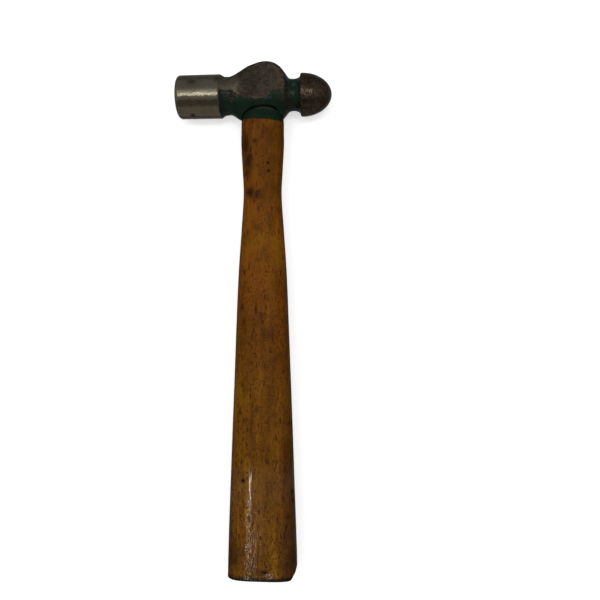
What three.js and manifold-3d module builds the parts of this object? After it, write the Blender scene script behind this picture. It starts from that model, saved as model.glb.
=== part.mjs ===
// A ball peen hammer, lying on its side.
// Millimetres: +X along the head from the poll to the ball, +Y up the handle to the head, +Z up.
// Every piece is drawn about the eye centre, where the head's axis crosses the handle's. At the end all
// of them are moved so that the hammer rests on z = 0 with its box centred on the origin.
import * as THREE from "three";
import { mergeVertices } from "three/addons/utils/BufferGeometryUtils.js";
import Module from "manifold-3d";

const wasm = await Module();
wasm.setup();

// ---- driving dimensions ---------------------------------------------------------------------------
const POLL_REACH = 56; // eye centre to the striking face
const BALL_REACH = 45.2; // eye centre to the tip of the ball

const POLL_RADIUS = 14.1; // at the shoulder, the widest round part of the head
const POLL_FACE_RADIUS = 14; // the poll tapers very slightly towards the face
const POLL_RIM = 2.4; // rounding of the striking edge
const POLL_SHOULDER = -27.3; // where the poll ends and the bevel to its neck begins
const POLL_NECK = -24.8;

const BALL_RADIUS = 13.9;
const BALL_CENTRE = 26.1; // the dome swells from here and is longer than it is wide
const BALL_BACK = 25; // the sharp edge behind the ball
const BALL_NECK = 20.2; // narrowest place of the head
const BALL_NECK_RADIUS = 10.2;
const BALL_TIP_RADIUS = 0.9; // last small facet of the ball

const CHEEK_HALF = 12.5; // half the distance between the two ground cheeks

const BUTT = -313.8; // lower end of the handle
const BUTT_EDGE = 1.2; // rounding of the butt's edge
const TENON_TOP = 15.6; // the tenon stops just below the crown of the head
const TENON_START = -15; // above this the handle follows the eye
const TENON_RELIEF = 1.3; // how much thinner than the eye the tenon is where it enters
const GRIP_TOP = -19; // below this it has its own outline

const KERF_FLOOR = -7; // bottom of the saw cut in the tenon
const WOOD_WEDGE = { floor: -6, thinHalf: 0.6, thickHalf: 2.3, top: 15.9 };
const STEEL_WEDGE = { floor: 3, thinHalf: 0.3, thickHalf: 1.3, top: 16.2, halfWidth: 6.2, offset: 5.8 };

const GAP = 0.3; // between pieces that touch
const AROUND = 40; // corners in each cross-section
const BODY_RINGS = 22; // cross-sections between the two necks
const HANDLE_RINGS = 26;
const EYE_RINGS = 10;

// The forging between its necks. Each row is a distance along the head, then the height of the top,
// the depth of the bottom, the half-width before the cheeks are ground, the level of the widest place,
// and the squareness of the upper and of the lower half, where 2 is an ellipse and more is squarer.
const BODY_SECTIONS = [
  [-24.8, 12.5, 12.4, 12.4, 0.0, 2.0, 2.0],
  [-20.5, 12.6, 12.3, 12.3, 0.5, 2.1, 2.0],
  [-14.0, 14.8, 16.2, 12.9, 1.4, 3.2, 1.9],
  [-7.0, 17.3, 17.2, 13.6, 2.0, 6.0, 1.9],
  [2.0, 19.1, 17.4, 13.8, 3.2, 9.0, 1.9],
  [8.0, 18.3, 17.4, 13.3, 5.0, 9.0, 1.8],
  [12.5, 15.7, 16.7, 13.0, 6.0, 6.0, 1.9],
  [15.2, 12.7, 13.6, 12.6, 5.0, 4.0, 2.0],
  [17.4, 10.6, 10.9, 10.9, 1.0, 2.2, 2.0],
  [20.2, 10.2, 10.2, 10.2, 0.0, 2.0, 2.0],
];

// The eye: height, half-length along the head, half-width, squareness. It flares towards both mouths.
const EYE_SECTIONS = [
  [-26, 14.8, 12.8, 2.5],
  [-14, 13.8, 11.6, 2.4],
  [-8, 13.1, 10.6, 2.4],
  [2, 12.2, 8.5, 2.2],
  [14, 12.6, 8.9, 2.2],
  [26, 13.6, 9.8, 2.2],
];

// The handle from the butt to just under the head: height, half-width along the head, half-thickness,
// and squareness.
const HANDLE_SECTIONS = [
  [-313.8, 22.6, 14.1, 3.7],
  [-300, 22.4, 14.1, 3.6],
  [-251, 20.9, 13.8, 3.3],
  [-199, 19.0, 13.1, 3.0],
  [-153, 17.4, 12.3, 2.7],
  [-114, 15.8, 11.4, 2.5],
  [-88, 14.0, 10.6, 2.4],
  [-65, 12.6, 10.4, 2.3],
  [-48, 13.4, 10.9, 2.2],
  [-32, 14.2, 11.4, 2.3],
  [-19, 13.9, 11.3, 2.4],
];

// ---- materials ------------------------------------------------------------------------------------
const forgedSteel = new THREE.MeshStandardMaterial({ color: 0x55524a, roughness: 0.45, metalness: 0.9 });
const varnishedWood = new THREE.MeshStandardMaterial({ color: 0x6e4619, roughness: 0.4, metalness: 0 });
const wedgeWood = new THREE.MeshStandardMaterial({ color: 0x7d5b33, roughness: 0.7, metalness: 0 });
const wedgeSteel = new THREE.MeshStandardMaterial({ color: 0x5b4a3c, roughness: 0.6, metalness: 0.8 });

// ---- tools ----------------------------------------------------------------------------------------
// A smooth curve through rows of [station, value, value, ...], read at one station.
function readAt(rows, station) {
  const above = rows.findIndex((row) => row[0] > station);
  const i = above < 0 ? rows.length - 2 : Math.max(0, above - 1);
  const [a, b] = [rows[i], rows[i + 1]];
  const [before, after] = [rows[i - 1] ?? a, rows[i + 2] ?? b];
  const span = b[0] - a[0];
  const t = (station - a[0]) / span;
  const toEnd = t * t * (3 - 2 * t);
  return a.slice(1).map((from, k) => {
    const to = b[k + 1];
    const slopeAtStart = ((to - before[k + 1]) / (b[0] - before[0])) * span;
    const slopeAtEnd = ((after[k + 1] - from) / (after[0] - a[0])) * span;
    const bend = t * (1 - t) * ((1 - t) * slopeAtStart - t * slopeAtEnd);
    return from + (to - from) * toEnd + bend;
  });
}

function evenly(from, to, steps) {
  return Array.from({ length: steps + 1 }, (_, i) => from + ((to - from) * i) / steps);
}

// How far a superellipse with two half-sizes reaches at one angle from the first of them.
function ovalReach(angle, first, second, squareness) {
  const alongFirst = Math.abs(Math.cos(angle) / first) ** squareness;
  const alongSecond = Math.abs(Math.sin(angle) / second) ** squareness;
  return (alongFirst + alongSecond) ** (-1 / squareness);
}

function ring(pointAt) {
  return Array.from({ length: AROUND }, (_, i) => pointAt((2 * Math.PI * i) / AROUND));
}

// A closed indexed geometry as a manifold-3d solid that faces out.
function solid(geometry) {
  const vertProperties = new Float32Array(geometry.attributes.position.array);
  const triVerts = new Uint32Array(geometry.index.array);
  const made = new wasm.Manifold(new wasm.Mesh({ numProp: 3, vertProperties, triVerts }));
  if (made.volume() > 0) return made;
  return new wasm.Manifold(new wasm.Mesh({ numProp: 3, vertProperties, triVerts: triVerts.reverse() }));
}

// A closed skin over rings that follow each other, with a flat cap on each end.
function loft(rings) {
  const side = (low, high, i, next) => [low + i, low + next, high + next, low + i, high + next, high + i];
  const faces = [];
  const last = (rings.length - 1) * AROUND;
  const [firstCap, lastCap] = [last + AROUND, last + AROUND + 1];
  for (let i = 0; i < AROUND; i++) {
    const next = (i + 1) % AROUND;
    for (let low = 0; low < last; low += AROUND) faces.push(...side(low, low + AROUND, i, next));
    faces.push(firstCap, next, i, lastCap, last + i, last + next);
  }
  const middle = (points) => points.reduce((sum, p) => sum.add(p), new THREE.Vector3()).divideScalar(AROUND);
  const caps = [middle(rings[0]), middle(rings[rings.length - 1])];
  return solid(new THREE.BufferGeometry().setFromPoints([...rings.flat(), ...caps]).setIndex(faces));
}

// A box whose half-sizes along X and Z change evenly between two heights.
function taper(low, high) {
  const tall = high.y - low.y;
  const geometry = new THREE.BoxGeometry(2, tall, 2);
  geometry.deleteAttribute("normal");
  geometry.deleteAttribute("uv");
  const position = geometry.attributes.position;
  for (let i = 0; i < position.count; i++) {
    const end = position.getY(i) > 0 ? high : low;
    position.setXYZ(i, position.getX(i) * end.x, end.y, position.getZ(i) * end.z);
  }
  return solid(mergeVertices(geometry));
}

function named(name, shape, material) {
  const { vertProperties, triVerts } = shape.getMesh();
  const geometry = new THREE.BufferGeometry();
  geometry.setAttribute("position", new THREE.BufferAttribute(new Float32Array(vertProperties), 3));
  geometry.setIndex(new THREE.BufferAttribute(new Uint32Array(triVerts), 1));
  geometry.computeVertexNormals();
  const mesh = new THREE.Mesh(geometry, material);
  mesh.name = name;
  return mesh;
}

// ---- head -----------------------------------------------------------------------------------------
function roundSection([x, radius]) {
  return ring((angle) => new THREE.Vector3(x, radius * Math.cos(angle), radius * Math.sin(angle)));
}

// From the striking face to the shoulder.
function pollSections() {
  const rim = evenly(0, Math.PI / 2, 4).map((turn) => [
    -POLL_REACH + POLL_RIM * (1 - Math.cos(turn)),
    POLL_FACE_RADIUS - POLL_RIM * (1 - Math.sin(turn)),
  ]);
  return [...rim, [POLL_SHOULDER, POLL_RADIUS]].map(roundSection);
}

// From the ball's neck, up the cove to its sharp back edge, and round to the tip.
function ballSections() {
  const rise = BALL_RADIUS - BALL_NECK_RADIUS;
  const run = BALL_BACK - BALL_NECK;
  const cove = evenly(0, Math.PI / 2, 5).map((turn) => [
    BALL_NECK + run * Math.sin(turn),
    BALL_NECK_RADIUS + rise * (1 - Math.cos(turn)),
  ]);
  const ball = evenly(0, Math.PI / 2, 10).map((turn) => [
    BALL_CENTRE + (BALL_REACH - BALL_CENTRE) * Math.sin(turn),
    BALL_RADIUS * Math.cos(turn),
  ]);
  return [...cove.slice(1), ...ball.slice(0, -1), [BALL_REACH, BALL_TIP_RADIUS]].map(roundSection);
}

function bodySection(x) {
  const [top, bottom, half, level, upper, lower] = readAt(BODY_SECTIONS, x);
  return ring((angle) => {
    const isAbove = Math.cos(angle) >= 0;
    const reach = ovalReach(angle, isAbove ? top - level : bottom + level, half, isAbove ? upper : lower);
    return new THREE.Vector3(x, level + reach * Math.cos(angle), reach * Math.sin(angle));
  });
}

function eye(shrink) {
  const rings = evenly(EYE_SECTIONS[0][0], EYE_SECTIONS[EYE_SECTIONS.length - 1][0], EYE_RINGS);
  return loft(rings.map((y) => eyeRing(y, shrink, shrink)));
}

function eyeRing(y, shrinkLength, shrinkWidth) {
  const [halfLength, halfWidth, squareness] = readAt(EYE_SECTIONS, y);
  return levelRing(y, halfWidth - shrinkWidth, halfLength - shrinkLength, squareness);
}

// A level superellipse from its half-sizes across and along the head.
function levelRing(y, across, along, squareness) {
  return ring((angle) => {
    const reach = ovalReach(angle, across, along, squareness);
    return new THREE.Vector3(reach * Math.sin(angle), y, reach * Math.cos(angle));
  });
}

function head() {
  const body = evenly(POLL_NECK, BALL_NECK, BODY_RINGS).map(bodySection);
  const forging = loft([...pollSections(), ...body, ...ballSections()]);
  const deep = 2 * CHEEK_HALF;
  const middle = (POLL_NECK + BALL_NECK) / 2;
  const size = { x: (BALL_NECK - POLL_NECK) / 2, z: deep / 2 };
  const grinding = taper({ y: -deep, ...size }, { y: deep, ...size });
  const aside = CHEEK_HALF + size.z;
  const cheeks = grinding.translate(middle, 0, aside).add(grinding.translate(middle, 0, -aside));
  return forging.subtract(cheeks).subtract(eye(0));
}

// ---- handle and wedges ----------------------------------------------------------------------------
function gripRing(y, inset) {
  const [halfWidth, halfThickness, squareness] = readAt(HANDLE_SECTIONS, y);
  return levelRing(y, halfThickness - inset, halfWidth - inset, squareness);
}

function tenonAndGrip() {
  const butt = evenly(0, Math.PI / 2, 3).map((turn) =>
    gripRing(BUTT + BUTT_EDGE * (1 - Math.cos(turn)), BUTT_EDGE * (1 - Math.sin(turn))),
  );
  const grip = evenly(BUTT + BUTT_EDGE, GRIP_TOP, HANDLE_RINGS).slice(1).map((y) => gripRing(y, 0));
  const tenon = evenly(TENON_START, TENON_TOP, EYE_RINGS / 2).map((y) => {
    const relief = TENON_RELIEF * Math.max(0, y / TENON_START);
    return eyeRing(y, GAP, GAP + relief);
  });
  return loft([...butt, ...grip, ...tenon]);
}

// The wooden wedge runs the whole length of the eye; a larger spread gives the kerf it sits in.
function woodWedge(spread, floor) {
  const long = POLL_REACH;
  const { thinHalf, thickHalf, top } = WOOD_WEDGE;
  return taper({ y: floor, x: long, z: thinHalf + spread }, { y: top, x: long, z: thickHalf + spread });
}

// A steel wedge driven across the tenon; a larger spread gives the slot it sits in.
function steelWedge(offset, spread) {
  const { floor, thinHalf, thickHalf, top, halfWidth } = STEEL_WEDGE;
  const z = halfWidth + spread;
  const low = { y: floor - spread, x: thinHalf + spread, z };
  return taper(low, { y: top, x: thickHalf + spread, z }).translate(offset, 0, 0);
}

// ---- assembly -------------------------------------------------------------------------------------
const offsets = [-STEEL_WEDGE.offset, STEEL_WEDGE.offset];
const slots = offsets.map((offset) => steelWedge(offset, GAP)).reduce((all, slot) => all.add(slot));
const kerf = woodWedge(GAP, KERF_FLOOR);
const wedgeInEye = woodWedge(0, WOOD_WEDGE.floor).intersect(eye(GAP));

const hammer = new THREE.Group();
hammer.name = "ball_peen_hammer";
hammer.add(
  named("head", head(), forgedSteel),
  named("handle", tenonAndGrip().subtract(kerf).subtract(slots), varnishedWood),
  named("wood_wedge", wedgeInEye.subtract(slots), wedgeWood),
  named("steel_wedge_poll", steelWedge(offsets[0], 0), wedgeSteel),
  named("steel_wedge_ball", steelWedge(offsets[1], 0), wedgeSteel),
);

const box = new THREE.Box3().setFromObject(hammer);
const centre = box.getCenter(new THREE.Vector3());
for (const piece of hammer.children) piece.geometry.translate(-centre.x, -centre.y, -box.min.z);

export default hammer;
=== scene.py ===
# A ball peen hammer lying on its side on a pale bench, seen from above one cheek.
import math

import bpy
import numpy as np
from mathutils import Matrix, Vector, noise


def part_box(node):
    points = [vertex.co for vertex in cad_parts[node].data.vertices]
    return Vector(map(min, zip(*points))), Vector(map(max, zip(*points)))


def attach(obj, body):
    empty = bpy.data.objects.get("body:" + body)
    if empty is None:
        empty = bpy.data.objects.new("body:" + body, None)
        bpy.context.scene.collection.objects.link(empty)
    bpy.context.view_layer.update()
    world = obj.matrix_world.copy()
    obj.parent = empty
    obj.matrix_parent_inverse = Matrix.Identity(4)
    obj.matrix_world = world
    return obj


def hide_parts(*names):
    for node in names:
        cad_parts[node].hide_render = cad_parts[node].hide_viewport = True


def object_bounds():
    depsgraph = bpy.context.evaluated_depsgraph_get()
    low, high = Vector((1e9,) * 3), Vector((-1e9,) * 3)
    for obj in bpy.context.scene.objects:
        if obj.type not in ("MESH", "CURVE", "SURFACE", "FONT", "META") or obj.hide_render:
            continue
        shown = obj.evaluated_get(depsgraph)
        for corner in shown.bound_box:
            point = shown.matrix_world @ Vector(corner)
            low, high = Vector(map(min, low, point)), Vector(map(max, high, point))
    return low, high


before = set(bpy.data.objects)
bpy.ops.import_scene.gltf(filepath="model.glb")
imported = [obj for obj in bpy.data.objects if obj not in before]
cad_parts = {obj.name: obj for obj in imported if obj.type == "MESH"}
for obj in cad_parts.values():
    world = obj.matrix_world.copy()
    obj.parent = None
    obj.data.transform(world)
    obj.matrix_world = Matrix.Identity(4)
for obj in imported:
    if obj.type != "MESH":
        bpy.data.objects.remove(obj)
cad_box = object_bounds()

# ---- driving dimensions: millimetres about the eye centre, X along the head, Y up the handle ------
MM = 0.001
POLL_REACH = 56.0
BALL_REACH = 45.2
POLL_RADIUS = 14.1
POLL_FACE_RADIUS = 14.0
POLL_RIM = 2.4
POLL_SHOULDER = -27.3
POLL_NECK = -24.8
BALL_RADIUS = 13.9
BALL_CENTRE = 26.1
BALL_BACK = 25.0
BALL_NECK = 20.2
BALL_NECK_RADIUS = 10.2
BALL_EDGE = 1.0  # rounding of the edge behind the ball
CHEEK_HALF = 12.5
BUTT = -313.8
BUTT_EDGE = 1.2
GRIP_TOP = -19.0
TENON_START = -15.0
TENON_TOP = 15.6
TENON_RELIEF = 1.3
GAP = 0.3
KERF = {"floor": -7.0, "top": 15.9, "thin": 0.9, "thick": 2.6}
SLOT = {"floor": 2.7, "top": 16.2, "thin": 0.6, "thick": 1.6, "half_width": 6.5, "offset": 5.8}

# distance along the head, top, bottom, half-width, level of the widest place, upper and lower squareness
BODY_SECTIONS = [
    (-24.8, 12.5, 12.4, 12.4, 0.0, 2.0, 2.0),
    (-20.5, 12.6, 12.3, 12.3, 0.5, 2.1, 2.0),
    (-14.0, 14.8, 16.2, 12.9, 1.4, 3.2, 1.9),
    (-7.0, 17.3, 17.2, 13.6, 2.0, 6.0, 1.9),
    (2.0, 19.1, 17.4, 13.8, 3.2, 9.0, 1.9),
    (8.0, 18.3, 17.4, 13.3, 5.0, 9.0, 1.8),
    (12.5, 15.7, 16.7, 13.0, 6.0, 6.0, 1.9),
    (15.2, 12.7, 13.6, 12.6, 5.0, 4.0, 2.0),
    (17.4, 10.6, 10.9, 10.9, 1.0, 2.2, 2.0),
    (20.2, 10.2, 10.2, 10.2, 0.0, 2.0, 2.0),
]
# height, half-length along the head, half-width, squareness
EYE_SECTIONS = [
    (-26.0, 14.8, 12.8, 2.5),
    (-14.0, 13.8, 11.6, 2.4),
    (-8.0, 13.1, 10.6, 2.4),
    (2.0, 12.2, 8.5, 2.2),
    (14.0, 12.6, 8.9, 2.2),
    (26.0, 13.6, 9.8, 2.2),
]
# height, half-width along the head, half-thickness, squareness
HANDLE_SECTIONS = [
    (-313.8, 22.6, 14.1, 3.7),
    (-300.0, 22.4, 14.1, 3.6),
    (-251.0, 20.9, 13.8, 3.3),
    (-199.0, 19.0, 13.1, 3.0),
    (-153.0, 17.4, 12.3, 2.7),
    (-114.0, 15.8, 11.4, 2.5),
    (-88.0, 14.0, 10.6, 2.4),
    (-65.0, 12.6, 10.4, 2.3),
    (-48.0, 13.4, 10.9, 2.2),
    (-32.0, 14.2, 11.4, 2.3),
    (-19.0, 13.9, 11.3, 2.4),
]

head_low, head_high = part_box("head")
handle_low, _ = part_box("handle")
EYE = Vector((head_low.x + POLL_REACH * MM, handle_low.y - BUTT * MM, (head_low.z + head_high.z) / 2))


# ---- geometry -------------------------------------------------------------------------------------
def read_at(rows, stations):
    """Values of a smooth curve through rows of (station, value, value, ...) at many stations."""
    rows, stations = np.array(rows), np.asarray(stations, float)
    x = rows[:, 0]
    i = np.clip(np.searchsorted(x, stations, side="right") - 1, 0, len(x) - 2)
    before, after = np.maximum(i - 1, 0), np.minimum(i + 2, len(x) - 1)
    span = (x[i + 1] - x[i])[:, None]
    t = (stations - x[i])[:, None] / span
    a, b = rows[i, 1:], rows[i + 1, 1:]
    slope_a = (b - rows[before, 1:]) / (x[i + 1] - x[before])[:, None] * span
    slope_b = (rows[after, 1:] - a) / (x[after] - x[i])[:, None] * span
    return a + (b - a) * t * t * (3 - 2 * t) + t * (1 - t) * ((1 - t) * slope_a - t * slope_b)


def turns(around):
    return np.linspace(0, 2 * math.pi, around, endpoint=False)[None, :]


def oval_reach(angle, first, second, squareness):
    shares = np.abs(np.cos(angle) / first) ** squareness + np.abs(np.sin(angle) / second) ** squareness
    return shares ** (-1 / squareness)


def round_rings(profile, around):
    """Rings about the X axis from (distance, radius) pairs."""
    x, radius = np.array(profile).T[:, :, None]
    angle = turns(around)
    return np.stack(np.broadcast_arrays(x, radius * np.cos(angle), radius * np.sin(angle)), -1)


def poll_rings(around):
    quarter = np.linspace(0, math.pi / 2, 10)
    face = [(-POLL_REACH, radius) for radius in np.linspace(2, POLL_FACE_RADIUS - POLL_RIM - 0.5, 8)]
    rim = [
        (-POLL_REACH + POLL_RIM * (1 - math.cos(turn)), POLL_FACE_RADIUS - POLL_RIM * (1 - math.sin(turn)))
        for turn in quarter
    ]
    side = [
        (x, np.interp(x, (-POLL_REACH, POLL_SHOULDER), (POLL_FACE_RADIUS, POLL_RADIUS)))
        for x in np.arange(-POLL_REACH + POLL_RIM, POLL_SHOULDER - 0.9, 0.6)[1:]
    ]
    edge = [
        (POLL_SHOULDER - 0.7 * (1 - math.sin(turn)), POLL_RADIUS - 0.35 * (1 - math.cos(turn)))
        for turn in quarter[::2]
    ]
    return round_rings(face + rim + side + edge, around)


def ball_rings(around):
    rise, run = BALL_RADIUS - BALL_NECK_RADIUS, BALL_BACK - BALL_NECK
    quarter = np.linspace(0, math.pi / 2, 22)[1:]
    cove = [
        (BALL_NECK + run * math.sin(turn), BALL_NECK_RADIUS + (rise - BALL_EDGE) * (1 - math.cos(turn)))
        for turn in quarter
    ]
    edge = [
        (BALL_BACK + BALL_EDGE * (1 - math.cos(turn)), BALL_RADIUS - BALL_EDGE * (1 - math.sin(turn)))
        for turn in quarter[::3]
    ]
    long = BALL_REACH - BALL_CENTRE
    dome = [
        (BALL_CENTRE + long * math.sin(turn), BALL_RADIUS * math.cos(turn))
        for turn in np.linspace(0.01, math.pi / 2, 56)[:-1]
    ]
    return round_rings(cove + edge + dome, around)


def body_rings(stations, around):
    """The forging between its necks, and how far each point stood out before the cheeks were ground."""
    top, bottom, half, level, upper, lower = read_at(BODY_SECTIONS, stations).T[:, :, None]
    angle = turns(around)
    above = np.cos(angle) >= 0
    height, squareness = np.where(above, top - level, bottom + level), np.where(above, upper, lower)
    reach = oval_reach(angle, height, half, squareness)
    y, z = level + reach * np.cos(angle), reach * np.sin(angle)
    edge = 0.1
    proud = np.abs(z) - CHEEK_HALF
    ground = CHEEK_HALF - edge * np.logaddexp(0, -proud / edge)
    z = np.sign(z) * np.where(proud > -8 * edge, ground, np.abs(z))
    x = np.broadcast_to(np.asarray(stations)[:, None], y.shape)
    return np.stack([x, y, z], -1), proud


def eye_rings(stations, around, shrink_length, shrink_width):
    half_length, half_width, squareness = read_at(EYE_SECTIONS, stations).T[:, :, None]
    return level_rings(stations, around, half_width - shrink_width, half_length - shrink_length, squareness)


def level_rings(stations, around, across, along, squareness):
    """Superellipses from their half-sizes across and along the head."""
    angle = turns(around)
    reach = oval_reach(angle, across, along, squareness)
    y = np.asarray(stations, float)[:, None]
    return np.stack(np.broadcast_arrays(reach * np.sin(angle), y, reach * np.cos(angle)), -1)


def grip_rings(stations, around, inset):
    half_width, half_thickness, squareness = read_at(HANDLE_SECTIONS, stations).T[:, :, None]
    inset = np.broadcast_to(inset, len(stations))[:, None]
    return level_rings(stations, around, half_thickness - inset, half_width - inset, squareness)


def noise_at(points, scale, seed):
    """Smooth noise from -1 to 1 at many points, scale in cycles per millimetre."""
    shift = Vector((seed * 17.3, seed * 5.1, seed * 11.7))
    flat = points.reshape(-1, 3)
    values = [noise.noise(Vector(point) * scale + shift) for point in flat]
    return np.array(values).reshape(points.shape[:-1])


def loft(name, rings):
    """A closed mesh object over rings of equal length, with a fan at each end."""
    count, around, _ = rings.shape
    points = np.concatenate([rings.reshape(-1, 3), [rings[0].mean(0), rings[-1].mean(0)]])
    index = np.arange(count * around).reshape(count, around)
    following = np.roll(index, -1, axis=1)
    quads = np.stack([index[:-1], following[:-1], following[1:], index[1:]], -1).reshape(-1, 4)
    first, last = count * around, count * around + 1
    start = [(first, b, a) for a, b in zip(index[0].tolist(), following[0].tolist())]
    end = [(last, a, b) for a, b in zip(index[-1].tolist(), following[-1].tolist())]
    mesh = bpy.data.meshes.new(name)
    mesh.from_pydata((points * MM + np.array(EYE)).tolist(), [], quads.tolist() + start + end)
    made = bpy.data.objects.new(name, mesh)
    bpy.context.scene.collection.objects.link(made)
    face_out(made)
    return made


def face_out(thing):
    """Turns the faces of a closed mesh outward."""
    mesh = thing.data
    volume = 0.0
    mesh.calc_loop_triangles()
    for triangle in mesh.loop_triangles:
        a, b, c = (mesh.vertices[v].co - EYE for v in triangle.vertices)
        volume += a.dot(b.cross(c))
    if volume < 0:
        mesh.flip_normals()


def taper(name, low, high, offset):
    """A box whose half-sizes (x, z) change evenly between two heights, moved along the head."""
    corners = [(-1, -1), (1, -1), (1, 1), (-1, 1)]
    rings = [[(offset + sx * x, y, sz * z) for sx, sz in corners] for y, x, z in (low, high)]
    return loft(name, np.array(rings, float))


def cut(thing, cutter):
    """Takes a closed mesh out of another one, and deletes the cutter."""
    modifier = thing.modifiers.new("cut", "BOOLEAN")
    modifier.operation = "DIFFERENCE"
    modifier.solver = "MANIFOLD"
    modifier.object = cutter
    bpy.context.view_layer.update()
    shown = thing.evaluated_get(bpy.context.evaluated_depsgraph_get())
    result = bpy.data.meshes.new_from_object(shown)
    thing.modifiers.clear()
    thing.data = result
    bpy.data.objects.remove(cutter)


def smooth(thing, degrees):
    thing.data.shade_smooth()
    thing.data.set_sharp_from_angle(angle=math.radians(degrees))


# ---- the two large pieces -------------------------------------------------------------------------
HEAD_AROUND = 240  # corners in each cross-section
HANDLE_AROUND = 144
EYE_AROUND = 96
BODY_RINGS = 150  # cross-sections along each piece
GRIP_RINGS = 300
EYE_RINGS = 40
TENON_RINGS = 24
EYE_CUT = 26.0  # the cutter for the eye reaches this far above and below the head's axis
SKIN = 0.09  # depths of the uneven surfaces, millimetres
HAMMERED = 0.07
DING = 0.35
WAVE = 0.16
FIBRES = 0.035
HEAD_SHARP = 38  # degrees above which an edge stays sharp
HANDLE_SHARP = 40


def forge_head():
    """The forging, dense enough for its forged skin, its dings and its ground cheeks to be geometry."""
    poll = poll_rings(HEAD_AROUND)
    body, proud = body_rings(np.linspace(POLL_NECK, BALL_NECK, BODY_RINGS), HEAD_AROUND)
    ball = ball_rings(HEAD_AROUND)
    rings = np.concatenate([poll, body, ball])
    is_ground = np.concatenate([np.zeros(poll.shape[:2]), proud > 0, np.zeros(ball.shape[:2])])
    x = rings[..., 0]
    radius = np.hypot(rings[..., 1], rings[..., 2])
    on_body = (x > POLL_SHOULDER) & (x < BALL_BACK)
    skin = SKIN * (1 + noise_at(rings, 0.22, 1)) * on_body
    hammered = HAMMERED * (1 + noise_at(rings, 0.35, 2)) * (x > BALL_BACK)
    rim = np.exp(-((x + POLL_REACH - 1.2) / 1.4) ** 2)
    dings = DING * np.clip(noise_at(rings, 0.28, 3) - 0.22, 0, 1) * rim
    inward = (skin + hammered + dings) * (1 - is_ground)
    rings[..., 1:] *= (1 - inward / np.maximum(radius, 2))[..., None]
    head = loft("hammer_head", rings)
    mask = head.data.attributes.new("ground", "FLOAT", "POINT")
    mask.data.foreach_set("value", np.append(is_ground.ravel(), [0, 0]).astype(np.float32))
    eye_heights = np.linspace(-EYE_CUT, EYE_CUT, EYE_RINGS)
    cut(head, loft("eye", eye_rings(eye_heights, EYE_AROUND, 0, 0)))
    smooth(head, HEAD_SHARP)
    return head
CORNER = (21.3, -310.6)  # a place on the worn corner of the butt, and which way the wear faces
CORNER_WEAR = math.radians(34)


def turn_handle():
    """The handle with its worn, slightly wavy grip, and the tenon with its kerf and slots."""
    quarter = np.linspace(0, math.pi / 2, 7)
    edge_heights, edge_insets = BUTT + BUTT_EDGE * (1 - np.cos(quarter)), BUTT_EDGE * (1 - np.sin(quarter))
    edge = grip_rings(edge_heights, HANDLE_AROUND, edge_insets)
    butt = grip_rings([BUTT] * 8, HANDLE_AROUND, np.linspace(11, BUTT_EDGE + 0.8, 8))
    grip = grip_rings(np.linspace(BUTT + BUTT_EDGE, GRIP_TOP, GRIP_RINGS)[1:], HANDLE_AROUND, 0)
    heights = np.linspace(TENON_START, TENON_TOP, TENON_RINGS)
    relief = TENON_RELIEF * np.clip(heights / TENON_START, 0, 1)[:, None]
    tenon = eye_rings(heights, HANDLE_AROUND, GAP, GAP + relief)
    rings = np.concatenate([butt, edge, grip, tenon])
    y = rings[..., 1]
    wave = WAVE * (1 + noise_at(rings * (1, 0.3, 1), 0.07, 4))
    fibres = FIBRES * (1 + noise_at(rings * (1, 0.08, 1), 0.9, 5))
    on_grip = np.clip((GRIP_TOP - y) / 6, 0, 1) * np.clip((y - BUTT) / 3, 0, 1)
    inward = (wave + fibres) * on_grip
    centre = rings * (0, 1, 0)
    reach = np.linalg.norm(rings - centre, axis=-1)
    rings = centre + (rings - centre) * (1 - inward / np.maximum(reach, 2))[..., None]
    across, down = math.cos(CORNER_WEAR), math.sin(CORNER_WEAR)
    over = (rings[..., 0] - CORNER[0]) * across + (CORNER[1] - rings[..., 1]) * down
    over = np.maximum(over, 0)
    rings[..., 0] -= over * across
    rings[..., 1] += over * down
    handle = loft("hammer_handle", rings)
    cut(handle, taper("kerf", (KERF["floor"], 30, KERF["thin"]), (KERF["top"], 30, KERF["thick"]), 0))
    for side in (-1, 1):
        low = (SLOT["floor"], SLOT["thin"], SLOT["half_width"])
        high = (SLOT["top"], SLOT["thick"], SLOT["half_width"])
        cut(handle, taper("slot", low, high, side * SLOT["offset"]))
    smooth(handle, HANDLE_SHARP)
    return handle


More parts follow.
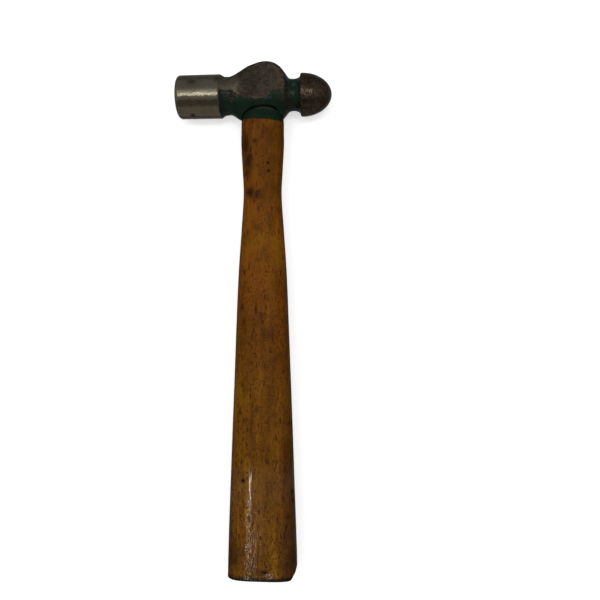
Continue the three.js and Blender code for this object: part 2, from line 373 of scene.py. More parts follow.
# ---- materials ------------------------------------------------------------------------------------
class Paints:
    """Short calls that build one material's nodes. Positions are in millimetres about the eye centre."""

    def __init__(self, name):
        self.material = bpy.data.materials.new(name)
        self.material.use_nodes = True
        self.tree = self.material.node_tree
        self.shader = self.tree.nodes["Principled BSDF"]
        place = self.add("ShaderNodeTexCoord").outputs["Object"]
        self.place = self.vector("MULTIPLY_ADD", place, (1 / MM,) * 3, tuple(-c / MM for c in EYE))
        split = self.add("ShaderNodeSeparateXYZ", self.place)
        self.x, self.y, self.z = split.outputs

    def add(self, kind, *values, **settings):
        made = self.tree.nodes.new(kind)
        for setting, value in settings.items():
            setattr(made, setting, value)
        for socket, value in zip(made.inputs, values):
            self.feed(socket, value)
        return made

    def feed(self, socket, value):
        if isinstance(value, bpy.types.NodeSocket):
            self.tree.links.new(value, socket)
        elif value is not None:
            socket.default_value = value

    def math(self, operation, *values):
        return self.add("ShaderNodeMath", *values, operation=operation).outputs[0]

    def vector(self, operation, *values):
        return self.add("ShaderNodeVectorMath", *values, operation=operation).outputs[0]

    def stretched(self, x, y, z):
        return self.vector("MULTIPLY", self.place, (x, y, z))

    def noise(self, scale, detail=4.0, roughness=0.55, place=None, distortion=0.0):
        made = self.add("ShaderNodeTexNoise")
        self.feed(made.inputs["Vector"], place or self.place)
        self.feed(made.inputs["Scale"], scale)
        self.feed(made.inputs["Detail"], detail)
        self.feed(made.inputs["Roughness"], roughness)
        self.feed(made.inputs["Distortion"], distortion)
        return made.outputs["Fac"]

    def cells(self, scale, place=None):
        made = self.add("ShaderNodeTexVoronoi")
        self.feed(made.inputs["Vector"], place or self.place)
        self.feed(made.inputs["Scale"], scale)
        return made.outputs["Distance"]

    def rise(self, value, low, high):
        """0 below low and 1 above high, or the other way round when low is the larger."""
        made = self.add("ShaderNodeMapRange", value, interpolation_type="SMOOTHSTEP")
        start, end = (low, high) if low < high else (high, low)
        self.feed(made.inputs["From Min"], start)
        self.feed(made.inputs["From Max"], end)
        self.feed(made.inputs["To Min"], 0.0 if low < high else 1.0)
        self.feed(made.inputs["To Max"], 1.0 if low < high else 0.0)
        return made.outputs[0]

    def mix(self, factor, first, second):
        """Two colours or two numbers, mixed."""
        is_colour = not all(self.is_number(value) for value in (first, second))
        made = self.add("ShaderNodeMix", data_type="RGBA" if is_colour else "FLOAT")
        kind = "Color" if is_colour else "Float"
        self.feed(self.socket(made.inputs, "Factor_Float"), factor)
        self.feed(self.socket(made.inputs, "A_" + kind), self.colour(first))
        self.feed(self.socket(made.inputs, "B_" + kind), self.colour(second))
        return self.socket(made.outputs, "Result_" + kind)

    @staticmethod
    def is_number(value):
        if isinstance(value, bpy.types.NodeSocket):
            return value.type == "VALUE"
        return isinstance(value, (int, float))

    @staticmethod
    def socket(sockets, identifier):
        return next(socket for socket in sockets if socket.identifier == identifier)

    @staticmethod
    def colour(value):
        return (*value, 1.0) if isinstance(value, tuple) and len(value) == 3 else value

    def all_of(self, *values):
        product = values[0]
        for value in values[1:]:
            product = self.math("MULTIPLY", product, value)
        return product

    def any_of(self, *values):
        largest = values[0]
        for value in values[1:]:
            largest = self.math("MAXIMUM", largest, value)
        return largest

    def without(self, value):
        return self.math("SUBTRACT", 1.0, value)

    def spot(self, centre, size, softness=0.4, place=None):
        """1 inside an ellipse across X and Y, fading to 0 past its edge."""
        offset = self.vector("SUBTRACT", place or self.place, (*centre, 0.0))
        scaled = self.vector("MULTIPLY", offset, (1 / size[0], 1 / size[1], 0.0))
        distance = self.add("ShaderNodeVectorMath", scaled, operation="LENGTH").outputs["Value"]
        return self.rise(distance, 1 + softness, 1 - softness)

    def bump(self, height, distance, normal=None):
        """Height in shares of a distance in millimetres."""
        made = self.add("ShaderNodeBump")
        self.feed(made.inputs["Strength"], 1.0)
        self.feed(made.inputs["Distance"], distance * MM)
        self.feed(made.inputs["Height"], height)
        self.feed(made.inputs["Normal"], normal)
        return made.outputs["Normal"]

    def finish(self, **inputs):
        for name, value in inputs.items():
            socket = self.shader.inputs[name.replace("_", " ").title()]
            self.feed(socket, self.colour(value))
        return self.material


GREEN = (0.0075, 0.0203, 0.0107)
GREEN_DARK = (0.0054, 0.0140, 0.0073)
COLLAR_GREEN_SHADED = (0.0036, 0.0105, 0.0054)
COLLAR_BARE = (0.019, 0.020, 0.014)
POLL_STEEL = (0.150, 0.132, 0.098)
POLL_STEEL_LOW = (0.150, 0.121, 0.080)
POLL_DULL = (0.105, 0.086, 0.056)
CHEEK_STEEL = (0.059, 0.0485, 0.0355)
CHEEK_BROWN = (0.031, 0.0245, 0.0178)
CHEEK_DARK = (0.009, 0.008, 0.0065)
NECK_STEEL = (0.128, 0.109, 0.077)
NECK_DULL = (0.075, 0.062, 0.045)
BALL_STEEL = (0.090, 0.064, 0.042)
BALL_BROWN = (0.024, 0.015, 0.010)
RUST = (0.024, 0.015, 0.009)
GRIME = (0.0120, 0.0110, 0.0075)
WORN_OLIVE = (0.034, 0.031, 0.020)
WORN_DARK = (0.014, 0.015, 0.010)
# Thick drops in the green paint: x, y, half-size along x, half-size along y.
PAINT_DROPS = [
    (20.6, 3.6, 0.8, 1.1),
    (20.6, -2.4, 0.8, 1.3),
    (-2.6, -5.0, 1.0, 0.6),
    (4.8, -5.0, 1.5, 0.6),
    (7.0, -4.6, 0.8, 0.6),
    (-18.5, -5.8, 0.7, 0.9),
]


def head_material():
    p = Paints("forged_steel_and_green_paint")
    ragged = p.math("MULTIPLY", p.math("SUBTRACT", p.noise(0.55, 3.0), 0.5), 2.2)
    edge_x = p.math("ADD", p.x, p.math("MULTIPLY", ragged, 0.5))
    edge_y = p.math("ADD", p.y, ragged)
    torn = p.math("MULTIPLY", p.math("ADD", p.noise(0.5, 5.0, 0.7), -0.5), 6.0)
    torn_place = p.vector("ADD", p.place, p.add("ShaderNodeCombineXYZ", torn, torn).outputs[0])
    mottle = p.noise(0.5, 6.0, 0.65)
    fine = p.noise(1.9, 4.0, 0.6)
    grains = p.noise(3.2, 2.0, 0.6)
    blotch = p.noise(0.12, 3.0, 0.5)

    # where paint is left
    on_body = p.all_of(
        p.rise(edge_x, POLL_SHOULDER - 0.1, POLL_SHOULDER + 0.5),
        p.rise(edge_x, BALL_BACK + 0.1, BALL_BACK - 0.3),
    )
    ground = p.add("ShaderNodeAttribute", attribute_name="ground").outputs["Fac"]
    cheek = p.rise(ground, 0.3, 0.7)
    bare_neck = p.all_of(p.rise(edge_x, -9.5, -11.5), p.rise(edge_y, 0.2, 0.9))
    hump_edge = p.math("ADD", edge_y, p.math("MULTIPLY", p.rise(p.x, 6.0, -6.0), 4.5))
    crown = p.rise(hump_edge, 12.5, 14.0)
    facing = p.add("ShaderNodeSeparateXYZ", p.add("ShaderNodeNewGeometry").outputs["Normal"]).outputs[2]
    worn = p.all_of(
        p.any_of(
            p.spot((-19.0, -3.2), (5.0, 2.6), 0.3, torn_place),
            p.spot((15.3, -0.8), (2.9, 4.3), 0.3, torn_place),
            p.spot((12.6, -5.6), (1.2, 0.9), 0.3, torn_place),
        ),
        p.rise(facing, -0.1, 0.1),
    )
    bare = p.any_of(cheek, bare_neck, crown)
    paint = p.all_of(on_body, p.without(bare), p.without(worn))

    # bare metal
    on_poll = p.rise(p.x, POLL_SHOULDER + 0.2, POLL_SHOULDER - 0.4)
    on_ball = p.rise(p.x, BALL_BACK - 0.5, BALL_BACK + 0.2)
    under = p.rise(p.y, -3.2, -5.5)
    poll_steel = p.mix(under, POLL_STEEL, POLL_STEEL_LOW)
    poll_steel = p.mix(p.all_of(p.rise(blotch, 0.4, 0.65), 0.45), poll_steel, POLL_DULL)
    cheek_steel = p.mix(p.rise(mottle, 0.34, 0.66), CHEEK_STEEL, CHEEK_BROWN)
    speckle_share = p.math("MULTIPLY_ADD", p.rise(blotch, 0.40, 0.58), 0.7, 0.3)
    speckle = p.all_of(p.rise(fine, 0.48, 0.60), speckle_share)
    cheek_steel = p.mix(p.all_of(speckle, 0.75), cheek_steel, CHEEK_DARK)
    dulled = p.all_of(p.spot((-5.5, 5.5), (6.5, 7.0), 0.9), p.rise(fine, 0.25, 0.55), 0.55)
    cheek_steel = p.mix(dulled, cheek_steel, CHEEK_DARK)
    neck_steel = p.mix(p.rise(mottle, 0.4, 0.65), NECK_STEEL, NECK_DULL)
    body_steel = p.mix(p.rise(p.x, -12.5, -17.5), cheek_steel, neck_steel)
    ball_mottle = p.noise(0.9, 6.0, 0.7)
    ball_steel = p.mix(p.rise(ball_mottle, 0.40, 0.62), BALL_STEEL, BALL_BROWN)
    ball_steel = p.mix(p.all_of(p.rise(p.noise(0.22, 4.0, 0.6), 0.42, 0.62), 0.5), ball_steel, BALL_BROWN)
    steel = p.mix(on_poll, p.mix(on_ball, body_steel, ball_steel), poll_steel)
    rust_spots = p.any_of(
        p.all_of(p.spot((-44.6, 6.4), (3.2, 2.2), 0.8), 0.9),
        p.spot((-28.8, 8.2), (1.7, 2.6), 0.7),
        p.all_of(p.spot((-45.0, -8.2), (2.8, 0.8), 0.7), 0.8),
        p.spot((-45.4, -13.3), (1.5, 0.7), 0.6),
        p.spot((8.9, -1.4), (2.4, 1.4), 0.7),
    )
    rust_spots = p.all_of(rust_spots, p.rise(fine, 0.25, 0.50))
    specks = p.all_of(p.rise(p.cells(0.62), 0.22, 0.12), p.rise(blotch, 0.42, 0.6), p.without(on_poll))
    pits = p.all_of(p.rise(p.noise(1.1, 5.0, 0.7), 0.60, 0.68), p.without(on_poll))
    rust = p.any_of(rust_spots, p.all_of(specks, 0.8), pits)
    steel = p.mix(p.all_of(rust, 0.9), steel, RUST)
    worn_steel = p.mix(p.rise(mottle, 0.4, 0.6), WORN_OLIVE, WORN_DARK)
    steel = p.mix(p.all_of(on_body, p.without(bare)), steel, worn_steel)

    paint_colour = p.mix(p.rise(p.noise(0.25, 3.0), 0.35, 0.65), GREEN, GREEN_DARK)
    grime = p.all_of(p.spot((18.5, -8.0), (4.0, 2.8), 0.7), p.rise(mottle, 0.30, 0.5), 0.85)
    paint_colour = p.mix(grime, paint_colour, GRIME)
    colour = p.mix(paint, steel, paint_colour)
    drops = None
    for x, y, across, along in PAINT_DROPS:
        drop = p.spot((x, y), (across, along), 0.8, torn_place)
        drops = drop if drops is None else p.any_of(drops, drop)
    drops = p.all_of(drops, p.without(cheek))

    # how rough and how uneven
    brushed = p.noise(1.0, 3.0, 0.6, p.stretched(5.0, 0.25, 0.25))
    scratches = p.noise(1.0, 4.0, 0.7, p.stretched(0.9, 3.2, 3.2))
    poll_rough = p.mix(rust, p.mix(p.rise(grains, 0.35, 0.65), 0.05, 0.15), 0.6)
    ball_rough = p.mix(rust, p.mix(p.rise(fine, 0.4, 0.6), 0.17, 0.42), 0.7)
    other_rough = p.mix(rust, p.mix(mottle, 0.38, 0.58), 0.7)
    steel_rough = p.mix(on_poll, p.mix(on_ball, other_rough, ball_rough), poll_rough)
    roughness = p.mix(paint, steel_rough, p.mix(p.noise(0.6), 0.10, 0.28))
    skin = p.math("ADD", p.math("MULTIPLY", mottle, 0.9), p.math("MULTIPLY", fine, 0.7))
    poll_skin = p.math("MULTIPLY_ADD", p.noise(0.8, 2.0, 0.5), 0.85, p.math("MULTIPLY", brushed, 0.5))
    surface = p.mix(on_poll, skin, poll_skin)
    surface = p.mix(cheek, surface, p.math("ADD", scratches, p.math("MULTIPLY", mottle, 0.6)))
    relief = p.bump(surface, 0.09)
    relief = p.bump(p.math("MULTIPLY", p.any_of(specks, pits), -1.0), 0.08, relief)
    relief = p.bump(p.math("ADD", paint, p.math("MULTIPLY", p.noise(0.7, 2.0), 0.7)), 0.16, relief)
    metallic = p.mix(paint, p.mix(rust, 1.0, 0.55), 0.0)
    p.shader.inputs["Specular IOR Level"].default_value = 0.1
    p.shader.inputs["Coat Roughness"].default_value = 0.12
    p.feed(p.shader.inputs["Coat Weight"], p.all_of(drops, 0.9))
    p.feed(p.shader.inputs["Coat Normal"], p.bump(p.math("MULTIPLY_ADD", fine, 0.3, drops), 0.5))
    return p.finish(base_color=colour, metallic=metallic, roughness=roughness, normal=relief)


WOOD_LIGHT = (0.117, 0.0375, 0.0032)
WOOD_DARK = (0.075, 0.0230, 0.0024)
WOOD_PAINTED_SHEEN = (0.187, 0.0575, 0.0030)
WOOD_YELLOW = (0.150, 0.0640, 0.0024)
WOOD_GOLD = (0.200, 0.0870, 0.0022)
WOOD_BROWN = (0.058, 0.0205, 0.0020)
WOOD_PORE = (0.026, 0.0068, 0.0012)
WOOD_STAIN = (0.024, 0.0080, 0.0030)
WOOD_BLACK = (0.0040, 0.0030, 0.0022)
END_DARK = (0.050, 0.026, 0.010)
END_LIGHT = (0.090, 0.048, 0.017)
END_PORE = (0.018, 0.010, 0.005)
GAP_PAINTED_SHADE = (0.0015, 0.0015, 0.0015)

# Marks on the grip: x, y, half-size along x, half-size along y, and how dark.
MARKS = [
    (-10.4, -33.5, 2.2, 7.0, 0.90),
    (-8.0, -44.5, 2.8, 5.5, 0.90),
    (-9.0, -52.0, 2.0, 3.0, 0.85),
    (-4.0, -32.0, 1.2, 1.6, 0.90),
    (4.5, -46.0, 1.0, 0.9, 1.00),
    (5.0, -51.0, 1.0, 1.0, 1.00),
    (-7.2, -64.5, 2.8, 2.7, 0.95),
    (-2.2, -67.0, 3.6, 3.4, 0.85),
    (-1.5, -75.5, 0.6, 1.4, 0.75),
    (7.0, -75.0, 0.6, 1.4, 0.75),
    (-2.0, -87.0, 2.8, 2.5, 0.55),
    (-5.0, -19.5, 0.7, 1.6, 0.70),
    (-3.0, -140.0, 0.8, 2.9, 0.85),
    (1.5, -144.5, 2.0, 1.3, 0.50),
    (-12.0, -139.0, 0.8, 2.3, 0.80),
    (-10.5, -148.0, 0.9, 2.3, 0.60),
    (5.5, -155.5, 4.2, 3.9, 0.50),
    (6.5, -167.5, 0.7, 0.7, 1.00),
    (-3.5, -168.5, 0.7, 0.9, 0.75),
    (14.5, -180.0, 0.7, 1.6, 0.75),
    (-12.0, -188.0, 1.0, 2.3, 0.50),
    (11.0, -197.0, 0.8, 0.8, 0.50),
    (-1.5, -204.0, 2.6, 1.7, 0.55),
    (-13.0, -205.5, 0.7, 2.6, 0.75),
    (18.5, -213.5, 1.2, 1.7, 0.75),
    (-7.0, -232.5, 1.6, 1.7, 0.50),
    (10.5, -237.5, 2.0, 1.0, 0.50),
    (-13.0, -241.5, 1.4, 1.6, 0.35),
    (15.5, -242.0, 0.9, 2.2, 0.75),
    (-11.0, -249.5, 1.9, 1.6, 0.80),
    (-11.0, -249.5, 1.2, 1.3, 1.30),
    (6.5, -252.5, 2.3, 2.3, 0.35),
    (4.5, -257.5, 1.0, 2.0, 0.50),
    (-14.0, -257.5, 0.7, 0.8, 0.70),
    (20.6, -258.5, 1.3, 1.8, 1.00),
    (20.9, -263.0, 1.1, 1.9, 1.00),
    (15.0, -262.0, 0.7, 2.2, 0.70),
    (18.0, -272.5, 1.4, 1.7, 0.80),
    (15.5, -284.0, 0.6, 2.6, 0.75),
    (-15.5, -284.0, 0.6, 3.2, 0.60),
    (-14.5, -294.5, 0.6, 3.9, 0.60),
    (20.5, -298.0, 2.0, 5.9, 0.70),
    (2.5, -296.0, 0.7, 2.0, 0.50),
    (2.5, -307.5, 2.4, 1.8, 1.00),
    (-20.6, -281.0, 1.5, 9.0, 0.55),
    (-17.5, -298.0, 4.4, 11.0, 0.80),
]
SMALL_MARK = 1.3  # marks narrower than this keep nearly their own outline and a harder edge
UNDERSIDE_SHIFT = 23.0  # how far along the handle the underside's marks are moved
MOUTH = -9.1  # where the eye's mouth hides the handle, in its middle
MOUTH_CURVE = 0.0235  # how fast it falls away to both sides
MOUTH_TILT = -0.055  # and how it leans along the head
VARNISH = 0.24  # weight of the coat where it is whole


def flecks(p, place, smallest, largest):
    """Pores of uneven size and darkness, one to a cell of the given stretched space."""
    cell = p.add("ShaderNodeTexVoronoi", place)
    p.feed(cell.inputs["Scale"], 1.0)
    first, second, _ = p.add("ShaderNodeSeparateColor", cell.outputs["Color"]).outputs
    size = p.math("MULTIPLY_ADD", p.all_of(first, first), largest - smallest, smallest)
    inside = p.rise(p.math("DIVIDE", cell.outputs["Distance"], size), 1.0, 0.5)
    return p.all_of(inside, p.math("MULTIPLY_ADD", second, 0.70, 0.30))


def wood_colour(p):
    """Bare wood under its varnish: growth figure, streaks and pores."""
    figure = p.noise(1.0, 4.0, 0.55, p.stretched(0.16, 0.012, 0.16), 0.6)
    streaks = p.noise(1.0, 5.0, 0.65, p.stretched(1.1, 0.05, 1.1))
    cloud = p.noise(0.035, 3.0, 0.5)
    low_down = p.rise(p.y, -110.0, -260.0)
    tone = p.math("ADD", p.math("MULTIPLY", figure, 0.5), p.math("MULTIPLY", streaks, 0.5))
    colour = p.mix(p.rise(tone, 0.30, 0.70), WOOD_LIGHT, WOOD_DARK)
    # painted sheen: the middle of the grip is lightened where a broad dull reflection of the lights lies
    colour = p.mix(p.all_of(p.spot((2.0, -100.0), (32.0, 40.0), 0.9), 0.6), colour, WOOD_PAINTED_SHEEN)
    yellowing = p.math("MULTIPLY_ADD", low_down, 0.7, p.rise(cloud, 0.5, 0.8))
    colour = p.mix(p.all_of(p.math("MINIMUM", yellowing, 1.0), 0.8), colour, WOOD_YELLOW)
    patches = p.noise(1.0, 4.0, 0.6, p.stretched(0.09, 0.045, 0.09))
    colour = p.mix(p.all_of(p.rise(patches, 0.48, 0.68), 0.5), colour, WOOD_BROWN)
    bands = p.noise(1.0, 5.0, 0.6, p.stretched(0.17, 0.018, 0.17))
    gold = p.all_of(p.rise(bands, 0.48, 0.66), p.math("MULTIPLY_ADD", low_down, 0.40, 0.2))
    brown = p.all_of(p.rise(bands, 0.46, 0.34), p.math("MULTIPLY_ADD", low_down, 0.4, 0.2))
    colour = p.mix(brown, p.mix(gold, colour, WOOD_GOLD), WOOD_BROWN)
    speckle = p.noise(1.0, 4.0, 0.75, p.stretched(1.1, 0.6, 1.1))
    colour = p.mix(p.all_of(p.rise(speckle, 0.46, 0.64), 0.35), colour, WOOD_BROWN)

    wander = p.add("ShaderNodeCombineXYZ", figure, 0.0, figure).outputs[0]
    wander = p.vector("MULTIPLY_ADD", wander, (3.0, 0.0, 3.0), p.place)
    crowd = p.noise(1.0, 2.0, 0.5, p.stretched(0.12, 0.03, 0.12))
    short = flecks(p, p.vector("MULTIPLY", wander, (0.95, 0.50, 0.95)), 0.30, 0.60)
    tiny = flecks(p, p.vector("MULTIPLY", wander, (1.35, 0.80, 1.35)), 0.28, 0.60)
    long = flecks(p, p.vector("MULTIPLY", wander, (0.85, 0.19, 0.85)), 0.30, 0.62)
    pores = p.any_of(
        p.all_of(short, p.any_of(p.rise(crowd, 0.48, 0.60), p.rise(p.y, -95.0, -125.0))),
        p.all_of(tiny, p.rise(crowd, 0.46, 0.60)),
        p.all_of(long, p.any_of(p.rise(crowd, 0.60, 0.44), p.rise(p.y, -230.0, -280.0))),
    )
    return p.mix(p.all_of(pores, 0.95), colour, WOOD_PORE), pores, streaks


def handle_material():
    p = Paints("varnished_handle")
    up = p.rise(p.z, -0.2, 0.2)
    colour, pores, streaks = wood_colour(p)

    # stains and knocks, with another set of places on the underside, then painted shade along the lower
    # grip's right edge and a dark band at the butt
    torn = p.math("ADD", p.noise(0.45, 5.0, 0.65), -0.5)
    pulled = p.math("ADD", p.noise(0.16, 4.0, 0.6, p.stretched(1.0, 0.6, 1.0)), -0.5)
    shift = p.mix(up, UNDERSIDE_SHIFT, 0.0)
    wobble_x = p.math("MULTIPLY_ADD", torn, 3.0, p.math("MULTIPLY", pulled, 5.0))
    wobble_y = p.math("MULTIPLY_ADD", torn, 6.0, p.math("MULTIPLY", pulled, -7.0))
    wobble = p.add("ShaderNodeCombineXYZ", wobble_x, wobble_y).outputs[0]
    flip = p.mix(up, -1.0, 1.0)
    flipped = p.add("ShaderNodeCombineXYZ", p.all_of(p.x, flip), p.math("ADD", p.y, shift), p.z).outputs[0]
    place = p.vector("ADD", flipped, wobble)
    near_place = p.vector("MULTIPLY_ADD", wobble, (0.25, 0.25, 0.0), flipped)
    stains = None
    for x, y, across, along, dark in MARKS:
        is_small = across < SMALL_MARK
        spot = p.spot((x, y), (across, along), 0.5 if is_small else 0.8, near_place if is_small else place)
        mark = p.all_of(spot, dark)
        stains = mark if stains is None else p.any_of(stains, mark)
    off_sides = p.rise(p.math("MULTIPLY_ADD", torn, 9.0, p.math("ABSOLUTE", p.z)), 1.5, 5.0)
    uneven = p.math("MULTIPLY_ADD", p.rise(p.noise(0.9, 4.0, 0.7), 0.35, 0.55), 0.30, 0.75)
    stains = p.all_of(stains, uneven, off_sides)
    grime = p.all_of(p.rise(p.noise(0.09, 4.0, 0.6), 0.54, 0.72), 0.3)
    side = p.math("ADD", p.x, p.math("MULTIPLY", p.noise(1.0, 3.0, 0.5, p.stretched(0.4, 0.03, 0.4)), 6.0))
    # painted shade: the right edge of the lower grip is darkened in streaks, on the side turned away from
    # the lamp
    right_side_shade = p.all_of(p.rise(side, 15.0, 19.5), p.rise(p.y, -195.0, -235.0), 0.6)
    left_side = p.all_of(p.rise(side, -14.0, -18.0), p.rise(p.y, -20.0, -60.0), 0.35)
    colour = p.mix(p.any_of(right_side_shade, left_side, grime), colour, WOOD_STAIN)
    colour = p.mix(stains, colour, p.mix(p.rise(stains, 0.90, 1.02), WOOD_STAIN, WOOD_BLACK))
    # the last few millimetres before the butt are darkened nearly to black: partly grime, partly painted
    # shade on the edge that turns away
    butt_edge_grime_and_shade = p.rise(p.math("ADD", p.y, p.math("MULTIPLY", torn, 4.0)), BUTT + 4.0, BUTT + 1.6)
    colour = p.mix(p.all_of(butt_edge_grime_and_shade, 0.9), colour, WOOD_BLACK)

    # end grain on both ends
    facing = p.add("ShaderNodeSeparateXYZ", p.add("ShaderNodeNewGeometry").outputs["Normal"]).outputs[1]
    end = p.rise(p.math("ABSOLUTE", facing), 0.75, 0.9)
    ring_place = p.vector("MULTIPLY", p.vector("ADD", p.place, (30.0, 0.0, 55.0)), (1.0, 0.0, 1.0))
    reach = p.add("ShaderNodeVectorMath", ring_place, operation="LENGTH").outputs["Value"]
    wavy = p.math("MULTIPLY_ADD", p.noise(0.12, 3.0), 14.0, p.math("MULTIPLY", p.noise(0.5), 3.0))
    rings = p.math("SINE", p.math("MULTIPLY_ADD", reach, 2.6, wavy))
    dots = p.rise(p.cells(2.2, p.stretched(1.0, 0.0, 1.0)), 0.34, 0.2)
    end_colour = p.mix(p.rise(rings, -0.8, 0.9), END_DARK, END_LIGHT)
    end_colour = p.mix(p.all_of(dots, 0.6), end_colour, END_PORE)
    colour = p.mix(end, colour, end_colour)

    # paint that ran over the handle when the head was painted, scraped along the eye's arched mouth, and
    # painted shade in the gap under that mouth
    curve = p.math("MULTIPLY_ADD", p.all_of(p.x, p.x), MOUTH_CURVE, p.math("MULTIPLY", p.x, MOUTH_TILT))
    to_mouth = p.math("ADD", p.math("ADD", p.y, curve), p.math("MULTIPLY", torn, 0.8))
    # painted shade: a near-black band just below the eye's mouth stands for the shade in the gap between
    # head and handle
    gap_shade = p.rise(to_mouth, MOUTH - 1.2, MOUTH - 0.8)
    scrape_reach = p.math("ABSOLUTE", p.math("ADD", p.x, -3.0))
    scraped = p.all_of(p.rise(to_mouth, MOUTH - 2.3, MOUTH - 1.9), p.rise(scrape_reach, 6.5, 4.0))
    ragged = p.math("MULTIPLY", p.math("SUBTRACT", p.noise(0.22, 5.0, 0.7), 0.5), 2.6)
    paint_edge = p.math("ADD", p.math("ADD", p.y, ragged), p.math("MULTIPLY", p.x, 0.06))
    painted = p.all_of(p.rise(paint_edge, -18.2, -17.9), p.without(end))
    chips = p.all_of(p.rise(p.noise(0.9, 3.0, 0.6), 0.62, 0.66), p.rise(p.y, -16.0, -16.6))
    # painted shade: the collar's green is a darker copy of the head's green paint, for the shade under the
    # head
    collar_paint_shaded = p.mix(p.noise(0.3), COLLAR_GREEN_SHADED, GREEN_DARK)
    colour = p.mix(p.all_of(painted, p.without(chips)), colour, collar_paint_shaded)
    colour = p.mix(p.all_of(painted, scraped), colour, COLLAR_BARE)
    colour = p.mix(p.all_of(gap_shade, p.without(end)), colour, GAP_PAINTED_SHADE)

    # varnish, worn dull where it is held and flaked where it is left
    polish = p.rise(p.math("ADD", p.y, p.math("MULTIPLY", torn, 12.0)), -236.0, -246.0)
    flaked = p.rise(p.noise(1.0, 4.0, 0.7, p.stretched(0.5, 0.16, 0.5)), 0.66, 0.54)
    varnish_streaks = p.noise(1.0, 4.0, 0.7, p.stretched(1.2, 0.45, 1.2))
    streaked = p.math("MULTIPLY_ADD", p.rise(varnish_streaks, 0.46, 0.58), 0.80, 0.04)
    gloss = p.all_of(polish, flaked, p.mix(p.rise(p.y, -258.0, -268.0), 1.0, streaked), p.without(stains))
    bead = p.spot((6.5, -309.6), (2.6, 1.7), 0.7, near_place)
    coat = p.any_of(p.all_of(gloss, VARNISH), bead)
    roughness = p.mix(p.any_of(p.all_of(stains, 0.6), end), p.mix(p.noise(0.10, 4.0, 0.6), 0.45, 0.62), 0.75)
    relief = p.bump(p.math("ADD", p.math("MULTIPLY", streaks, 0.8), p.noise(0.6, 3.0)), 0.10)
    relief = p.bump(p.math("MULTIPLY", p.any_of(pores, stains), -1.0), 0.12, relief)
    relief = p.bump(painted, 0.10, relief)
    p.shader.inputs["Specular IOR Level"].default_value = 0.03
    p.shader.inputs["Coat Roughness"].default_value = 0.07
    p.feed(p.shader.inputs["Coat Weight"], coat)
    ripple = p.noise(1.0, 3.0, 0.6, p.stretched(1.3, 0.35, 1.3))
    crushed = p.all_of(bead, p.noise(1.2, 3.0, 0.6), 4.0)
    ripple = p.math("MULTIPLY_ADD", ripple, p.rise(p.y, -258.0, -270.0), crushed)
    p.feed(p.shader.inputs["Coat Normal"], p.bump(ripple, 0.05))
    return p.finish(base_color=colour, roughness=roughness, normal=relief)


def wedge_wood_material():
    p = Paints("bare_wedge_wood")
    fibres = p.noise(1.0, 5.0, 0.65, p.stretched(0.5, 2.0, 3.5))
    colour = p.mix(p.rise(fibres, 0.35, 0.65), (0.105, 0.062, 0.026), (0.045, 0.027, 0.013))
    colour = p.mix(p.rise(p.noise(0.5, 4.0), 0.5, 0.7), colour, (0.020, 0.014, 0.009))
    return p.finish(base_color=colour, roughness=p.mix(fibres, 0.6, 0.85), normal=p.bump(fibres, 0.15))


def wedge_steel_material():
    p = Paints("rusted_wedge_steel")
    crust = p.noise(1.2, 6.0, 0.7)
    colour = p.mix(p.rise(crust, 0.4, 0.62), (0.13, 0.105, 0.085), (0.040, 0.020, 0.011))
    metallic = p.rise(crust, 0.6, 0.4)
    roughness = p.mix(crust, 0.4, 0.8)
    return p.finish(base_color=colour, metallic=metallic, roughness=roughness, normal=p.bump(crust, 0.1))


def floor_material():
    p = Paints("pale_bench")
    mottle = p.noise(0.01, 3.0)
    p.shader.inputs["Emission Color"].default_value = (1.0, 1.0, 1.0, 1.0)
    p.shader.inputs["Emission Strength"].default_value = FLOOR_GLOW
    colour = p.mix(mottle, (0.80, 0.80, 0.80), (0.82, 0.82, 0.82))
    return p.finish(base_color=colour, roughness=p.mix(mottle, 0.7, 0.8))


# ---- stage ----------------------------------------------------------------------------------------
FLOOR_RADIUS = 2.5
FLOOR_GLOW = 0.60  # the bench is a light table, so the hammer throws almost no shadow
CAMERA_FOOT = (55.2, -134.1)  # point straight below the camera, millimetres about the eye centre
CAMERA_HEIGHT = 435.0
CAMERA_YAW = math.radians(4.04)
CAMERA_LENS = 40.0
LAMP_COLOUR = (1.0, 0.85, 0.72)


def lay_floor():
    mesh = bpy.data.meshes.new("bench")
    corners = [(FLOOR_RADIUS * math.cos(a), FLOOR_RADIUS * math.sin(a), cad_box[0].z) for a in turns(96)[0]]
    mesh.from_pydata(corners, [], [list(range(len(corners)))])
    floor = bpy.data.objects.new("bench", mesh)
    bpy.context.scene.collection.objects.link(floor)
    mesh.materials.append(floor_material())
    floor.visible_glossy = False  # the room's own dark ground lights and mirrors the undersides instead
    floor.visible_diffuse = False


def soft_light(name, place, aim, size, radiance, lean=0.0):
    """A soft box in millimetres about the eye centre; its long side runs along Y, leaning towards X."""
    light = bpy.data.lights.new(name, "AREA")
    light.shape = "RECTANGLE"
    light.size, light.size_y = size
    light.energy = radiance * math.pi * size[0] * size[1]
    made = bpy.data.objects.new(name, light)
    made.location = EYE + Vector(place) * MM
    back = (Vector(place) - Vector(aim)).normalized()
    along = Vector((math.sin(lean), math.cos(lean), 0.0))
    along = (along - back * along.dot(back)).normalized()
    made.rotation_euler = Matrix((along.cross(back), along, back)).transposed().to_euler()
    bpy.context.scene.collection.objects.link(made)
    return made


def only_on(light, thing):
    """Flags a light off from everything but one object."""
    lit = bpy.data.collections.new(light.name + "_falls_on")
    lit.objects.link(thing)
    light.light_linking.receiver_collection = lit


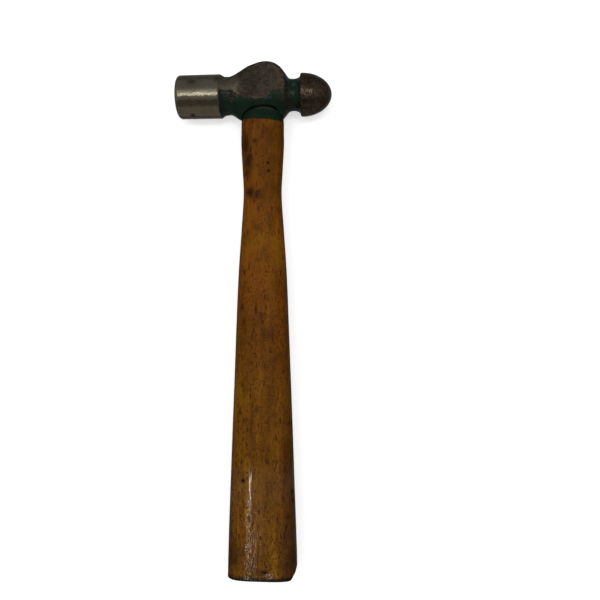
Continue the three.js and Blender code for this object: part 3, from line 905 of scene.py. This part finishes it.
def pale_surroundings():
    """An even pale room over a darker ground, with a darker side where the onlooker stands."""
    world = bpy.data.worlds.new("studio")
    bpy.context.scene.world = world
    world.use_nodes = True
    nodes, links = world.node_tree.nodes, world.node_tree.links
    place = nodes.new("ShaderNodeTexCoord")
    split = nodes.new("ShaderNodeSeparateXYZ")
    links.new(place.outputs["Generated"], split.inputs[0])

    def ramp(axis, start, end, low, high):
        made = nodes.new("ShaderNodeMapRange")
        made.interpolation_type = "SMOOTHSTEP"
        for socket, value in zip(made.inputs[1:5], (start, end, low, high)):
            socket.default_value = value
        links.new(split.outputs[axis], made.inputs["Value"])
        return made.outputs[0]

    def combine(operation, first, second):
        made = nodes.new("ShaderNodeMath")
        made.operation = operation
        links.new(first, made.inputs[0])
        links.new(second, made.inputs[1])
        return made.outputs[0]

    sides = combine("MULTIPLY", ramp(1, -0.48, -0.36, 0.35, 1.0), ramp(1, 0.35, 0.75, 1.0, 0.72))
    lit = combine("MULTIPLY", ramp(2, -0.10, 0.30, 0.28, 0.57), sides)
    low_glow = combine("MULTIPLY", ramp(1, -0.72, -0.56, 0.43, 0.0), ramp(2, 0.35, 0.55, 1.0, 0.0))
    lit = combine("MAXIMUM", lit, low_glow)
    links.new(lit, nodes["Background"].inputs["Strength"])
    nodes["Background"].inputs["Color"].default_value = (1, 1, 1, 1)


def place_camera():
    camera = bpy.data.objects.new("camera", bpy.data.cameras.new("camera"))
    bpy.context.scene.collection.objects.link(camera)
    camera.location = EYE + Vector((*CAMERA_FOOT, CAMERA_HEIGHT)) * MM
    camera.rotation_euler = (0, CAMERA_YAW, 0)
    camera.data.lens = CAMERA_LENS
    camera.data.clip_start = 0.01
    bpy.context.scene.camera = camera


# ---- assembly -------------------------------------------------------------------------------------
def wear(thing, material):
    thing.data.materials.clear()
    thing.data.materials.append(material)


place_camera()
lay_floor()
pale_surroundings()
lamp = soft_light("lamp", (-1430, -2300, 6000), (-8, -280, 13), (0.15, 1.10), 100.0, math.radians(-7.8))
lamp.data.color = LAMP_COLOUR
soft_light("window_low", (-330, -10, 1200), (-44, 0, 0), (0.40, 0.20), 5.8)
soft_light("window_middle", (-330, 180, 1200), (-44, 0, 0), (0.40, 0.17), 1.4)
soft_light("window_high", (-330, 385, 1200), (-44, 0, 0), (0.40, 0.23), 0.8)
soft_light("ceiling", (240, 50, 1200), (27, 0, 0), (0.34, 0.20), 11.0)

head = forge_head()
wear(head, head_material())
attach(head, "root")
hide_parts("head")

handle = turn_handle()
wear(handle, handle_material())
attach(handle, "root")
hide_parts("handle")
only_on(lamp, handle)

wear(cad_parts["wood_wedge"], wedge_wood_material())
rusty = wedge_steel_material()
for node in ("steel_wedge_poll", "steel_wedge_ball"):
    wear(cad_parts[node], rusty)

bpy.context.scene.view_settings.view_transform = "Standard"
